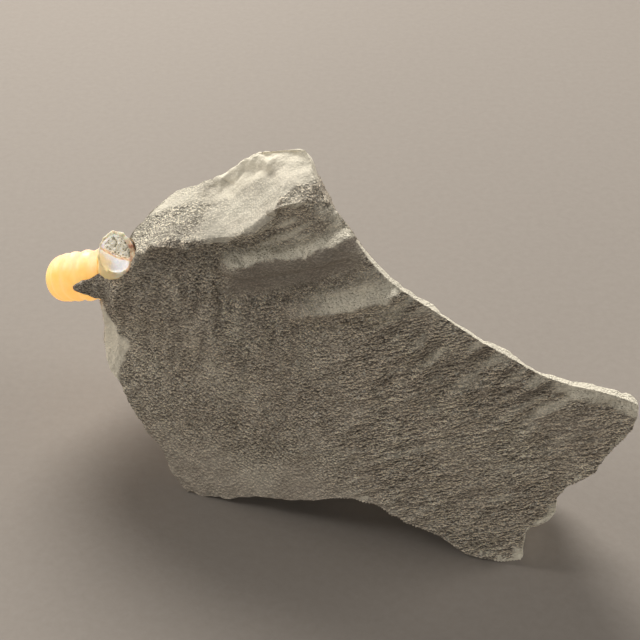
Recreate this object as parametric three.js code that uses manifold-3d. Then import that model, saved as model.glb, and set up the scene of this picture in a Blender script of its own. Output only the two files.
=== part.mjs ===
// A loose wedge of dark limestone standing on its lower edge. A small golden ammonite stands out of
// its left end, and the broken end of the shell shows in front, half full of grey sediment.
import * as THREE from "three";
import { mergeVertices } from "three/addons/utils/BufferGeometryUtils.js";
import Module from "manifold-3d";

const wasm = await Module();
wasm.setup();

// Driving dimensions, in millimetres and degrees.
// The stone's broad face is measured along it (u), up it (v) and behind it (w), from its left foot.
const FACE_LEAN = 8;
const FACE_YAW = -18;
const FOOT = [-23.6, -10.65];
const GAP = 0.3;

// Outline of the broad face: [u, v, w] along each side.
const LEFT_SIDE = [
  [-0.5, 0, 0],
  [-3, 2.5, 0],
  [-4.5, 5, 0],
  [-5.5, 8, 0.5],
  [-8.5, 11.5, 0.5],
  [-11, 14.5, 0.5],
  [-12, 17.5, 0.5],
  [-15, 20.5, 1.5],
  [-17, 23, 3],
  [-18, 27, 4.5],
  [-18, 33, 3.5],
  [-16.5, 37.5, 1],
  [-15, 41, 0.5],
  [-13.5, 44, 1],
  [-12.5, 47.5, 4.5],
  [-10.5, 50.5, 7.5],
  [-9, 52, 8.5],
  [-7.5, 54, 10],
  [-3, 55.5, 11],
  [0, 56.5, 11],
  [3, 58.5, 11],
  [6, 62, 11],
  [8.5, 63.5, 10],
  [14.5, 65.5, 9],
];
const TOP_SIDE = [
  [14.5, 65.5, 9],
  [17, 66, 7.5],
  [18, 65, 6.5],
  [19, 63.5, 4.5],
  [21, 62, 3],
  [23, 60, 2],
  [26, 57, 1.5],
  [29.5, 53, 0.5],
  [33, 50, 0],
  [37.5, 47.5, 0],
  [43, 45, 0],
  [50, 41.5, 0],
  [55.5, 39.5, 0],
  [59, 38, 0],
  [64.5, 37, 0],
  [69.5, 37, 0],
  [75, 36, 0],
];
const RIGHT_SIDE = [
  [60.5, 1.5, 0],
  [60.5, 6, 0],
  [61, 8, 0],
  [63.5, 10, 0],
  [65, 12, 0],
  [65, 15.5, 0],
  [66.5, 18, 0],
  [69.5, 21, 0],
  [71.5, 25, 0],
  [74.5, 30, 0],
  [75, 33, 0],
  [75, 36, 0],
];
const BOTTOM_SIDE = [
  [-0.5, 0, 0],
  [1, 0, 0],
  [5, 0.5, 0],
  [11, 2, 0],
  [21, 4, 0],
  [28.5, 6, 0],
  [36, 6, 0],
  [38, 5, 0],
  [42.5, 3.5, 0],
  [46.5, 2.5, 0],
  [49, 1, 0],
  [52, 0, 0],
  [56.5, 0, 0],
  [58.5, 0.5, 0],
  [60.5, 1.5, 0],
];

// Ledges across the face: a crest line [u, v], how far it stands out, the lit slope above it and
// the hollow below it.
const LEDGES = [
  {
    line: [[-10, 45], [-6, 48.5], [0, 50], [6, 51.5], [13, 56], [15, 60], [21, 62.5]],
    out: 1.2,
    slope: 3,
    hollow: 1.2,
    recover: 6,
  },
  {
    line: [[6, 46], [13, 48.5], [20, 50.5], [27.5, 55.5]],
    out: 1.2,
    slope: 3,
    hollow: 1.5,
    recover: 5,
  },
  {
    line: [[18, 41], [24, 43], [29, 45], [35.5, 47.5]],
    out: 0.6,
    slope: 3,
    hollow: 0.6,
    recover: 4,
  },
];
const LEDGE_EDGE = 2.5;
const LEDGE_END = 4;
const SLOPE_LEAST = 3;
const EASE_POWER = 5;

// Back of the stone: it falls away from the rim, and a shelf at the left end carries the ammonite.
const RIM_HEIGHT = [
  [-26, 26],
  [-18, 34],
  [-15, 41],
  [-12.5, 48],
  [-7.5, 54],
  [3, 58.5],
  [6, 62],
  [14.5, 65.5],
  [18, 65],
  [23, 60],
  [29.5, 53],
  [43, 44.5],
  [59, 37.5],
  [75, 36],
];
const RIM_DEPTH = [
  [-18, 3],
  [-14, 1],
  [-12.5, 4.5],
  [-7.5, 10],
  [6, 11],
  [14.5, 9],
  [18, 6.5],
  [23, 2],
  [33, 0],
  [75, 0],
];
const RIM_THICKNESS = 0.6;
const RIM_STEP_DOWN = 0.9;
const BACK_REACH = 34;
const BACK_SLOPE_LEFT = 0.7;
const BACK_SLOPE_RIGHT = 1;
const SHELF_DEPTH = 31;
const SHELF_END = [0, 12];
const SHELF_DROP = 300;
const SHELF_OVER_MIDDLE = 1;
const LEFT_FLARE = 0.35;
const RIGHT_TAPER = 0.15;

// The hollow under the front of the stone, between its two feet, runs this far in.
const ARCH_DEPTH = [4, 11];

// The ammonite: a flat spiral of round ribbed whorls.
const COIL_CENTRE = [-20.6, 32, 16.8];
const COIL_TIP_BACK = -36;
const COIL_ROLL = -3.5;
const COIL_LEFT_RADIUS = 13;
const COIL_GROWTH = 1.85;
const COIL_END_ANGLE = 262;
const COIL_MIDLINE = 0.75;
const COIL_HALF_HEIGHT = 0.255;
const COIL_HALF_WIDTH = 0.3;
const RIBS_A_TURN = 25;
const RIB_HEIGHT = 0.25;
const COIL_CORE_RADIUS = 3.6;
const COIL_CORE_HALF_HEIGHT = 1.8;
const ROOM_SPARE = 0.1;
const UMBILICUS_RADIUS = 9;
const CLEARED_RADIUS = 13.5;
const CLEARED_FLARE = 2;
const CLEARED_HEIGHT = 12;

// The broken end of the shell: an egg-shaped bowl that faces forwards.
const BOWL_CENTRE = [-13.8, 45.2, 0.8];
const BOWL_TILT = 40;
const BOWL_TURN = 25.5;
const BOWL_HALF_WIDTH = 3.1;
const BOWL_HALF_HEIGHT = 3.9;
const BOWL_DEPTH = 3.2;
const BOWL_WALL = 0.6;
const BOWL_NARROWING = 0.12;
const FILL_TILT = -28;
const FILL_LEVEL = -0.45;

// The neck that joins the end of the last whorl to the bowl, bending from one to the other.
const NECK_LEAVE = 4;
const NECK_ARRIVE = 4;
const NECK_START = 1;

// The spike of stone that lies along the ammonite's outer edge.
const SPIKE_ROOT = [-14, 38.5, 1.6];
const SPIKE_TIP = [-22.3, 36.2, 2];
const SPIKE_HALF_HEIGHT = 3.1;
const SPIKE_HALF_THICKNESS = 1;
const SPIKE_POINT = 0.1;
const SPIKE_FULLNESS = 0.8;

// Mesh fineness.
const FACE_COLUMNS = 28;
const FACE_ROWS = 34;
const SIDE_STEPS = 5;

const lean = THREE.MathUtils.degToRad(FACE_LEAN);
const { lerp, clamp, smoothstep, degToRad } = THREE.MathUtils;

// A place on the stone's face, in the stone's own frame.
function facePoint(u, v, w) {
  const y = v * Math.sin(lean) + w * Math.cos(lean);
  const z = v * Math.cos(lean) - w * Math.sin(lean);
  return new THREE.Vector3(u, y, z);
}

// The value of a broken line at u.
function lineAt(points, u) {
  let i = 1;
  while (i < points.length - 1 && points[i][0] < u) i += 1;
  const [[a, va], [b, vb]] = [points[i - 1], points[i]];
  return lerp(va, vb, clamp((u - a) / (b - a), 0, 1));
}

const sideCurve = (points) =>
  new THREE.CatmullRomCurve3(
    points.map(([u, v, w]) => new THREE.Vector3(u, v, w)),
    false,
    "centripetal",
  );
const leftCurve = sideCurve(LEFT_SIDE);
const topCurve = sideCurve(TOP_SIDE);
const rightCurve = sideCurve(RIGHT_SIDE);
const bottomCurve = sideCurve(BOTTOM_SIDE);

// A patch stretched between the outline's four sides, as [u, v, w].
function outlinePatch(s, t) {
  const across = bottomCurve.getPointAt(s).lerp(topCurve.getPointAt(s), t);
  const upwards = leftCurve.getPointAt(t).lerp(rightCurve.getPointAt(t), s);
  const low = bottomCurve.getPointAt(0).lerp(bottomCurve.getPointAt(1), s);
  const high = topCurve.getPointAt(0).lerp(topCurve.getPointAt(1), s);
  return across.add(upwards).sub(low.lerp(high, t));
}

// How far the ledges push the face in (+) or out (-).
function ledgeRelief(u, v) {
  let depth = 0;
  for (const { line, out, slope, hollow, recover } of LEDGES) {
    const start = line[0][0];
    const end = line[line.length - 1][0];
    const along =
      smoothstep(u, start - LEDGE_END, start) * (1 - smoothstep(u, end, end + LEDGE_END));
    const over = v - lineAt(line, u);
    const above = -out * Math.exp(-over / slope);
    const below = hollow * Math.exp((over + LEDGE_EDGE) / recover);
    const shape = over > 0 ? above : lerp(-out, below, smoothstep(-over, 0, LEDGE_EDGE));
    depth += along * shape;
  }
  return depth;
}

// The face is flat below the first ledge and slopes back from there to the rim.
function faceDepth(u, v) {
  const rim = lineAt(RIM_HEIGHT, u);
  const band = Math.max(rim - lineAt(LEDGES[0].line, u), SLOPE_LEAST);
  return lineAt(RIM_DEPTH, u) * clamp((v - rim + band) / band, 0, 1);
}

// The face inside the outline, eased at the edges to the outline's own depth.
function frontPoint(s, t) {
  const p = outlinePatch(s, t);
  const left = leftCurve.getPointAt(t);
  const top = topCurve.getPointAt(s);
  const peak = topCurve.getPointAt(0);
  const atLeft = (1 - s) ** EASE_POWER;
  const atTop = t ** EASE_POWER;
  const fromLeft = left.z - faceDepth(left.x, left.y);
  const fromTop = top.z - faceDepth(top.x, top.y);
  const fromPeak = peak.z - faceDepth(peak.x, peak.y);
  const eased = fromLeft * atLeft + fromTop * atTop - fromPeak * atLeft * atTop;
  const inside = Math.min(1, 16 * s * (1 - s)) * Math.min(1, 16 * t * (1 - t));
  p.z = faceDepth(p.x, p.y) + eased + inside * ledgeRelief(p.x, p.y);
  return p;
}

const coilTurn = new THREE.Euler(
  degToRad(COIL_TIP_BACK),
  degToRad(COIL_ROLL),
  degToRad(-FACE_YAW),
  "ZXY",
);
const coilCentre = facePoint(...COIL_CENTRE);
const coilAxis = new THREE.Vector3(0, 0, 1).applyEuler(coilTurn);
const coilMatrix = new THREE.Matrix4().makeRotationFromEuler(coilTurn).setPosition(coilCentre);
const bowlTurn = new THREE.Euler(degToRad(BOWL_TILT), 0, degToRad(BOWL_TURN), "ZXY");
const bowlCentre = facePoint(...BOWL_CENTRE);
const bowlMatrix = new THREE.Matrix4().makeRotationFromEuler(bowlTurn).setPosition(bowlCentre);

// Depth of the shelf's top, a plane level with the ammonite's middle, at u, v.
function shelfDepth(u, v) {
  const onFace = facePoint(u, v, 0).sub(coilCentre);
  const inwards = facePoint(0, 0, 1);
  return (SHELF_OVER_MIDDLE - onFace.dot(coilAxis)) / inwards.dot(coilAxis);
}

function backDepth(u, v) {
  const slope = lerp(BACK_SLOPE_LEFT, BACK_SLOPE_RIGHT, smoothstep(u, -12, 12));
  const fall = Math.max(0, lineAt(RIM_HEIGHT, u) - v);
  const reach = BACK_REACH * (1 - Math.exp((-slope * fall) / BACK_REACH));
  const sloping = lineAt(RIM_DEPTH, u) + RIM_THICKNESS + reach;
  const shelf = shelfDepth(u, v) - SHELF_DROP * smoothstep(u, ...SHELF_END);
  return Math.max(sloping, Math.min(shelf, SHELF_DEPTH));
}

function backPoint(s, t) {
  const front = frontPoint(s, t);
  const flare = LEFT_FLARE * smoothstep(front.y, 6, 28) * (1 - smoothstep(front.y, 42, 48));
  const v = front.y - RIM_STEP_DOWN * smoothstep(t, 0.4, 0.9);
  let w = backDepth(front.x, v);
  const u = front.x - flare * (1 - s) ** 3 * (w - front.z) - RIGHT_TAPER * s ** 3 * (w - front.z);
  w = Math.max(backDepth(u, v), front.z + RIM_THICKNESS);
  const floorLift = (w * Math.tan(lean) - bottomCurve.getPointAt(s).y) * (1 - t) ** 3;
  return new THREE.Vector3(u, v + floorLift, w);
}

// The wedge: a box whose front follows the face and whose back follows the slope behind it.
function wedgeGeometry() {
  const box = new THREE.BoxGeometry(1, 1, 1, FACE_COLUMNS, FACE_ROWS, SIDE_STEPS);
  const place = box.getAttribute("position");
  for (let i = 0; i < place.count; i += 1) {
    const s = place.getX(i) + 0.5;
    const t = place.getY(i) + 0.5;
    const k = (0.5 - place.getZ(i)) ** 1.2;
    const p = frontPoint(s, t).lerp(backPoint(s, t), k);
    const solid = facePoint(p.x, p.y, p.z);
    if (t === 0) solid.z *= 1 - smoothstep(p.z, ...ARCH_DEPTH);
    place.setXYZ(i, solid.x, solid.y, Math.max(0, solid.z));
  }
  return box;
}

// A flat-sided sliver that narrows to a point, with slightly swollen sides.
function spikeGeometry() {
  const root = facePoint(...SPIKE_ROOT);
  const tip = facePoint(...SPIKE_TIP);
  const run = tip.clone().sub(root);
  const cone = new THREE.CylinderGeometry(1, 1, run.length(), 8, 6);
  const place = cone.getAttribute("position");
  for (let i = 0; i < place.count; i += 1) {
    const share = Math.max(0, 0.5 - place.getY(i) / run.length());
    const size = lerp(SPIKE_POINT, 1, share ** SPIKE_FULLNESS);
    place.setX(i, place.getX(i) * size * SPIKE_HALF_HEIGHT);
    place.setZ(i, place.getZ(i) * size * SPIKE_HALF_THICKNESS);
  }
  const outwards = new THREE.Vector3(0, -1, 0.3).normalize();
  const side = new THREE.Vector3().crossVectors(run, outwards).normalize();
  const face = new THREE.Vector3().crossVectors(side, run.clone().normalize());
  const turn = new THREE.Matrix4().makeBasis(side, run.clone().normalize(), face);
  const middle = root.clone().lerp(tip, 0.5);
  return cone.applyMatrix4(turn.setPosition(middle));
}

// One stretch of whorl, from one turn count inwards of the open end to another.
function whorlGeometry(fromTurn, toTurn, sides, stepsATurn, swell, ribs) {
  const steps = Math.round((toTurn - fromTurn) * stepsATurn);
  const tube = new THREE.CylinderGeometry(1, 1, 1, sides, steps);
  const place = tube.getAttribute("position");
  for (let i = 0; i < place.count; i += 1) {
    const turns = lerp(toTurn, fromTurn, place.getY(i) + 0.5);
    const angle = degToRad(COIL_END_ANGLE - 360 * turns);
    const sinceLeft = (COIL_END_ANGLE - 180) / 360 - turns;
    const outer = COIL_LEFT_RADIUS * COIL_GROWTH ** sinceLeft;
    const crest = Math.cos(RIBS_A_TURN * turns * 2 * Math.PI);
    const onOutside = smoothstep(place.getX(i), -0.7, 0.1);
    const rib = ribs ? (RIB_HEIGHT * outer * crest * onOutside) / COIL_LEFT_RADIUS : 0;
    const radius = COIL_MIDLINE * outer + place.getX(i) * (COIL_HALF_HEIGHT * outer + swell + rib);
    const height = place.getZ(i) * (COIL_HALF_WIDTH * outer + swell + rib);
    place.setXYZ(i, radius * Math.cos(angle), radius * Math.sin(angle), height);
  }
  return tube;
}

function solidOf(geometry) {
  const bare = geometry.clone();
  bare.deleteAttribute("normal");
  bare.deleteAttribute("uv");
  const merged = mergeVertices(bare, 1e-4);
  return new wasm.Manifold(
    new wasm.Mesh({
      numProp: 3,
      vertProperties: merged.getAttribute("position").array,
      triVerts: new Uint32Array(merged.index.array),
    }),
  );
}

function geometryOf(solid) {
  const mesh = solid.getMesh();
  const geometry = new THREE.BufferGeometry();
  geometry.setAttribute("position", new THREE.BufferAttribute(mesh.vertProperties, 3));
  geometry.setIndex(new THREE.BufferAttribute(mesh.triVerts, 1));
  geometry.computeVertexNormals();
  return geometry;
}

function atCoil(geometry) {
  return geometry.applyMatrix4(coilMatrix);
}

function coilSolid() {
  const outer = solidOf(atCoil(whorlGeometry(0, 0.9, 10, 2 * RIBS_A_TURN, 0, true)));
  const second = solidOf(atCoil(whorlGeometry(0.86, 1.76, 8, 24, 0, false)));
  const third = solidOf(atCoil(whorlGeometry(1.72, 2.6, 6, 16, 0, false)));
  const ball = new THREE.SphereGeometry(1, 10, 6);
  ball.scale(COIL_CORE_RADIUS, COIL_CORE_RADIUS, COIL_CORE_HALF_HEIGHT);
  const core = solidOf(atCoil(ball));
  return outer.add(second).add(third).add(core);
}

// The room that the ammonite takes in the stone.
function coilRoom() {
  const swell = GAP + RIB_HEIGHT + ROOM_SPARE;
  const outer = solidOf(atCoil(whorlGeometry(-0.01, 0.9, 10, 30, swell, false)));
  const second = solidOf(atCoil(whorlGeometry(0.86, 1.76, 8, 20, swell, false)));
  const discHeight = 2 * (GAP + COIL_CORE_HALF_HEIGHT) + 1;
  const disc = new THREE.CylinderGeometry(UMBILICUS_RADIUS, UMBILICUS_RADIUS - 1, discHeight, 16);
  disc.rotateX(Math.PI / 2);
  return outer.add(second).add(solidOf(atCoil(disc)));
}

// The stone above the ammonite's shelf that is cleared away.
function clearedRoom() {
  const top = CLEARED_RADIUS + CLEARED_FLARE;
  const cleared = new THREE.CylinderGeometry(top, CLEARED_RADIUS, CLEARED_HEIGHT, 24);
  cleared.rotateX(Math.PI / 2).translate(0, 0, CLEARED_HEIGHT / 2 + SHELF_OVER_MIDDLE);
  return solidOf(atCoil(cleared));
}

// A tube that leaves the last whorl along its own line and arrives at the bowl's back.
function neckSolid(grow) {
  const angle = degToRad(COIL_END_ANGLE);
  const outer = COIL_LEFT_RADIUS * COIL_GROWTH ** ((COIL_END_ANGLE - 180) / 360);
  const end = new THREE.Vector3(Math.cos(angle), Math.sin(angle), 0);
  end.multiplyScalar(COIL_MIDLINE * outer).applyMatrix4(coilMatrix);
  const onwards = new THREE.Vector3(-Math.sin(angle), Math.cos(angle), 0);
  onwards.transformDirection(coilMatrix);
  const bowlUp = new THREE.Vector3(0, 1, 0).transformDirection(bowlMatrix);
  const behind = new THREE.Vector3(0, 0, -NECK_START).applyMatrix4(bowlMatrix);
  const backwards = new THREE.Vector3(0, 0, -1).transformDirection(bowlMatrix);
  const path = new THREE.CubicBezierCurve3(
    end,
    end.clone().addScaledVector(onwards, NECK_LEAVE),
    behind.clone().addScaledVector(backwards, NECK_ARRIVE),
    behind,
  );
  const tube = new THREE.CylinderGeometry(1, 1, 1, 12, 6);
  const place = tube.getAttribute("position");
  for (let i = 0; i < place.count; i += 1) {
    const share = place.getY(i) + 0.5;
    const heading = path.getTangent(share);
    const side = heading.clone().cross(coilAxis.clone().lerp(bowlUp, share)).normalize();
    const up = side.clone().cross(heading);
    const across = lerp(COIL_HALF_HEIGHT * outer, BOWL_HALF_WIDTH, share) + grow;
    const high = lerp(COIL_HALF_WIDTH * outer, BOWL_HALF_HEIGHT, share) + grow;
    const spot = path.getPoint(share);
    spot.addScaledVector(side, place.getX(i) * across).addScaledVector(up, place.getZ(i) * high);
    place.setXYZ(i, ...spot);
  }
  return solidOf(tube);
}

// A shape turned about its middle line to face forwards, then squeezed to the egg outline.
function eggGeometry(profile, grow) {
  const shape = new THREE.LatheGeometry(
    profile.map(([r, h]) => new THREE.Vector2(r, h)),
    20,
  );
  shape.rotateX(Math.PI / 2);
  const place = shape.getAttribute("position");
  for (let i = 0; i < place.count; i += 1) {
    const up = place.getY(i);
    const x = place.getX(i) * (BOWL_HALF_WIDTH + grow) * (1 - BOWL_NARROWING * up);
    const y = up * (BOWL_HALF_HEIGHT + grow);
    place.setXYZ(i, x, y, place.getZ(i) * (BOWL_DEPTH + grow));
  }
  return shape.applyMatrix4(bowlMatrix);
}

// A quarter ellipse from the bowl's bottom to its rim.
function bowlArc(radius, depth, steps) {
  const points = [];
  for (let i = 0; i <= steps; i += 1) {
    const angle = (i / steps) * (Math.PI / 2);
    points.push([radius * Math.sin(angle), -depth * Math.cos(angle)]);
  }
  points[0][0] = 0;
  return points;
}

const bowlInside = 1 - BOWL_WALL / BOWL_HALF_WIDTH;
const fillSize = bowlInside - GAP / BOWL_HALF_WIDTH;

// The bowl with its neck, hollow at the front.
function shellSolid() {
  const outside = solidOf(eggGeometry([...bowlArc(1, 1, 6), [0, 0]], 0)).add(neckSolid(0));
  const hollow = [...bowlArc(bowlInside, bowlInside, 6), [bowlInside, 1], [0, 1]];
  return outside.subtract(solidOf(eggGeometry(hollow, 0)));
}

function shellRoom() {
  return solidOf(eggGeometry([...bowlArc(1, 1, 6), [1, 1.5], [0, 1.5]], GAP)).add(neckSolid(GAP));
}

function fillSolid() {
  const whole = solidOf(eggGeometry([...bowlArc(fillSize, fillSize, 6), [0, 0]], 0));
  const half = new THREE.BoxGeometry(20, 10, 20).translate(0, 5 + FILL_LEVEL, 0);
  half.rotateZ(degToRad(FILL_TILT)).applyMatrix4(bowlMatrix);
  return whole.intersect(solidOf(half));
}

function namedMesh(name, solid, color, roughness) {
  const material = new THREE.MeshStandardMaterial({ color, roughness, metalness: 0 });
  const mesh = new THREE.Mesh(geometryOf(solid), material);
  mesh.name = name;
  return mesh;
}

const room = coilRoom();
const wedge = solidOf(wedgeGeometry()).add(solidOf(spikeGeometry()));
const stone = wedge.subtract(room).subtract(clearedRoom()).subtract(shellRoom());
const shell = shellSolid().subtract(room);

const ammonite = new THREE.Group();
ammonite.rotation.z = degToRad(FACE_YAW);
ammonite.position.set(...FOOT, 0);
ammonite.add(namedMesh("matrix_rock", stone, 0x736a5e, 0.9));
ammonite.add(namedMesh("ammonite_coil", coilSolid(), 0xf5c264, 0.35));
ammonite.add(namedMesh("shell_section", shell, 0xd9c9ae, 0.45));
ammonite.add(namedMesh("chamber_fill", fillSolid(), 0xa39c82, 0.85));

export default ammonite;
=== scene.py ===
import math
from types import SimpleNamespace

import bpy
import numpy as np
from mathutils import Euler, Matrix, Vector


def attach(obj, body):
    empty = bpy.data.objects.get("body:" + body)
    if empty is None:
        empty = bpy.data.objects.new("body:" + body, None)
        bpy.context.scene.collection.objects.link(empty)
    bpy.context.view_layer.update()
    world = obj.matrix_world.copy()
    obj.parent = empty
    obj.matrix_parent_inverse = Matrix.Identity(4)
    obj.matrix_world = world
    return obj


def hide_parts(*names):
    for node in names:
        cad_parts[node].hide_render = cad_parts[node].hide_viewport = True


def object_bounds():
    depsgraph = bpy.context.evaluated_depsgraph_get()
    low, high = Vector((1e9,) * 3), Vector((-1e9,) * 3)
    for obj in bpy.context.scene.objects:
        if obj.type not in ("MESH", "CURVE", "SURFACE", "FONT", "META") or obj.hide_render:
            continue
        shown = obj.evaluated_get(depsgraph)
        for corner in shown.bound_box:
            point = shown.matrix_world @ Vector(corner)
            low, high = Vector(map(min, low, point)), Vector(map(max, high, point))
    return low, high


# A fossil ammonite in its wedge of limestone, on a pale floor under soft light from above and behind.
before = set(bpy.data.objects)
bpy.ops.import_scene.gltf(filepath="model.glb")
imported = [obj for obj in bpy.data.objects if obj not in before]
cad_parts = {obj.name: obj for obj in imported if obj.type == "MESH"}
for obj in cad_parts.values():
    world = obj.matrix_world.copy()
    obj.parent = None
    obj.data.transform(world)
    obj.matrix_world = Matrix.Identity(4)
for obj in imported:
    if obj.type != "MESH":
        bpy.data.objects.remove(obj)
cad_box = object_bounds()

MM = 0.001

# Camera, in metres and degrees.
CAMERA_ELEVATION = 36
CAMERA_DISTANCE = 0.313
CAMERA_TARGET = (-0.00019, 0.04235, 0)
CAMERA_LENS = 84.375
CAMERA_SENSOR = 36

# The light from all round, and the soft lights: place and aim in metres, width and height in metres,
# and power in watts.
SKY = 0.05
SKY_COLOUR = (1, 0.97, 0.93)
LAMP_COLOUR = (1, 0.97, 0.92)
LAMPS = {
    "back_light": {"place": (-0.1, 0.43, 0.47), "aim": (0, 0.02, 0.02), "size": (0.4, 0.32), "watts": 4.4},
    "front_light": {"place": (-0.2, -0.85, 0.24), "aim": (0, 0, 0.02), "size": (0.35, 0.2), "watts": 1.65},
    "left_light": {"place": (-0.52, 0.14, 0.34), "aim": (-0.03, 0, 0.02), "size": (0.35, 0.35), "watts": 1.5},
    "right_light": {"place": (0.5, 0.02, 0.24), "aim": (0.03, 0, 0.02), "size": (0.35, 0.35), "watts": 1.2},
}

# Half the floor's width, in metres.
FLOOR_REACH = 3.0

# The stone's own frame, in millimetres: u along its face, v up it and w behind it, from its left foot.
FACE_LEAN = math.radians(8)
FACE_YAW = math.radians(-18)
FOOT = np.array([-23.6, -10.65, 0])
UPRIGHT = np.array([0, 0, 1])
ALONG = np.array([math.cos(FACE_YAW), math.sin(FACE_YAW), 0])
BEHIND = np.array([-math.sin(FACE_YAW), math.cos(FACE_YAW), 0])
UP_FACE = UPRIGHT * math.cos(FACE_LEAN) + BEHIND * math.sin(FACE_LEAN)
INTO_FACE = BEHIND * math.cos(FACE_LEAN) - UPRIGHT * math.sin(FACE_LEAN)

# Fineness of the stone's mesh, in millimetres.
FRONT_EDGE = 0.5
BACK_EDGE = 1.2
CREASE_ANGLE = math.radians(38)
SHARP_ANGLE = math.radians(62)
REFINE_ROUNDS = 6
SMOOTH_ROUNDS = 3

# How far the stone may pass the CAD model's box, and its least height above the floor off its base.
BOX_MARGIN = 0.3
FLOOR_GAP = 0.02

# Broken ledges across the face: crest points (u, v), how far the crest stands out, and the reach of
# the slope above it and of the fall below it.
LIP = {
    "crest": [(-1, 56.3), (1.5, 57.2), (3.5, 58.7), (5.5, 60.9), (8, 62.2), (11.5, 63.1)],
    "step": 0.8,
    "above": 0.9,
    "below": 2.2,
}
UPPER_LEDGE = {
    "crest": [
        (-8.7, 45.9), (-7.5, 47.4), (-5.7, 48.7), (-3.5, 49.5), (-0.3, 49.9), (2.5, 50.8),
        (6, 51.4), (8.6, 53.3), (10.3, 54.2), (13, 55.9), (14.6, 57.4), (15.2, 60),
        (16.4, 61.2), (17.7, 62.1), (20.6, 62.7),
    ],
    "step": 0.8,
    "above": 2.5,
    "below": 3,
}
MIDDLE_LEDGE = {
    "crest": [
        (6.6, 47.1), (10.3, 48.2), (13.8, 49.6), (16.4, 50.4), (19, 51.3), (20.6, 52.1),
        (22.5, 53.3), (24.7, 54.6), (28.5, 56.2),
    ],
    "step": 2.5,
    "above": 1.9,
    "below": 9,
}
LOWER_LEDGE = {
    "crest": [(18.5, 40.3), (22.3, 41.6), (27, 43.4), (31.5, 45.5), (34.5, 47), (37, 48.4)],
    "step": 1.9,
    "above": 2.2,
    "below": 4,
}

# Depth and greatest rise of the level top of the stone's right-hand edge.
TOP_DEPTH = 1.2
TOP_RISE = 1.5

# The left edge's facet that gets a painted highlight: its width at heights up the face, and how deep the edge
# may lie.
FACET_HEIGHTS = [18.5, 21, 26, 32, 34.5]
FACET_WIDTHS = [-1, 1.6, 5, 1.4, -1]
FACET_DEPTH = 6

# Marks drawn out over the face: their direction in degrees, their size along and across it, and how
# far they stand out. The streaks low on the left only carry painted highlight and painted shade.
STREAKS = {"angle": 22, "along": 4.0, "across": 1.0, "height": 0.3, "seed": 7}
RIPPLES = {"angle": 48, "along": 7, "across": 2.1, "height": 1.0, "seed": 8}
FOLDS = {"angle": 33, "along": 5, "across": 1.7, "height": 0.3, "seed": 21}
DRAPES = {"angle": 86, "along": 6, "across": 1.1, "height": 0.2, "seed": 24}
PAINTED_STREAKS = {"angle": -38, "along": 5, "across": 1.2, "seed": 27}
WEDGE_STREAKS = {"angle": 35, "along": 4, "across": 1.1, "height": 0.4, "seed": 15}

# The rise up the face over which a ripple or a fold shows which way its side looks.
RIPPLE_RISE = 0.6
FOLD_RISE = 0.5

# The stone's grain: size in millimetres, detail and roughness, for plain grain and for grain drawn out
# in streaks. Its granules are rounded. A grain's upper side gets a painted highlight and its lower side
# painted shade, by how the grain changes over a small rise up the face. Sizes and depths are in millimetres.
GRAIN = (0.52, 4, 0.68)
STREAKY_GRAIN = (0.5, 4, 0.66)
STREAK_ANGLE = math.radians(24)
STREAK_STRETCH = 3
GRANULE_SIZE = 0.42
SIDE_RISE = 0.1
GRANULE_DEPTH = 0.35
GRAIN_DEPTH = 0.7

# The stone's colours. The speck colour is partly pale grains and partly painted glints; the dark
# stone colour is painted shade, and also the grey patches on the slope; the pale edge colour is painted
# highlight.
PALE_STONE = (0.65, 0.61, 0.51)
SPECK = (0.9, 0.87, 0.78)
PIT = (0.13, 0.12, 0.09)
SHADE_AND_GREY_STONE = (0.15, 0.13, 0.11)
HIGHLIGHT_STONE = (0.97, 0.9, 0.74)
PLAIN = (1.0, 1.0, 1.0)

# The ammonite, as in the CAD model.
COIL_CENTRE = (-20.6, 32, 16.8)
COIL_TIP_BACK = math.radians(-36)
COIL_ROLL = math.radians(-3.5)
COIL_LEFT_RADIUS = 13
COIL_GROWTH = 1.85
COIL_END_ANGLE = math.radians(262)
COIL_MIDLINE = 0.75
COIL_HALF_HEIGHT = 0.255
COIL_HALF_WIDTH = 0.3
RIBS_A_TURN = 25
RIB_HEIGHT = 0.17
RINGS_A_RIB = 10
WHORL_TURNS = 2.9
WHORL_SIDES = 44

# The broken end of the shell, as in the CAD model.
BOWL_CENTRE = (-13.8, 45.2, 0.8)
BOWL_TILT = math.radians(40)
BOWL_TURN = math.radians(25.5)
BOWL_HALF_WIDTH = 3.1
BOWL_HALF_HEIGHT = 3.9
DISH_DEPTH = 1.5
NECK_LEAVE = 4
NECK_ARRIVE = 4
NECK_START = 1
SEPTUM_LEVEL = -0.4
FILL_EDGE = -0.1
BOWL_NARROWING = 0.12
BOWL_SIDES = 132
BOWL_RINGS = 24
NECK_RINGS = 26
RIM_DEPTH = 0.12
RIDGE_WIDTH = 0.26
RIDGE_HEIGHT = 0.5
FILL_TILT = math.radians(-28)
FILL_MESH = 0.16
FILL_CREASE_ANGLE = math.radians(80)
FILL_ROUNDS = 5
FILL_SMOOTH_ROUNDS = 2
FILL_GRAIN = 0.6

# Colours of the calcite: a painted highlight along the top of its whorl, the deeper honey of the painted
# light low on it, and the colour of its painted glow; of the shell where it is honey-coloured, and of the
# black grains.
LIT_TOP_CREAM = (0.85, 0.58, 0.56)
GLOWING_LOW_HONEY = (1.0, 0.5, 0.1)
PAINTED_GLOW_COLOUR = (1.0, 0.61, 0.2)
HONEY_SHELL = (1.0, 0.74, 0.34)
BLACK_GRAIN = (0.1, 0.095, 0.055)


# The stone's frame.
def face_place(u, v, w):
    """A place in the part's frame, in millimetres."""
    return FOOT + u * ALONG + v * UP_FACE + w * INTO_FACE


def to_face(points):
    offset = points - FOOT
    return offset @ ALONG, offset @ UP_FACE, offset @ INTO_FACE


def smooth(low, high, value):
    share = np.clip((value - low) / (high - low), 0, 1)
    return share * share * (3 - 2 * share)


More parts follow.
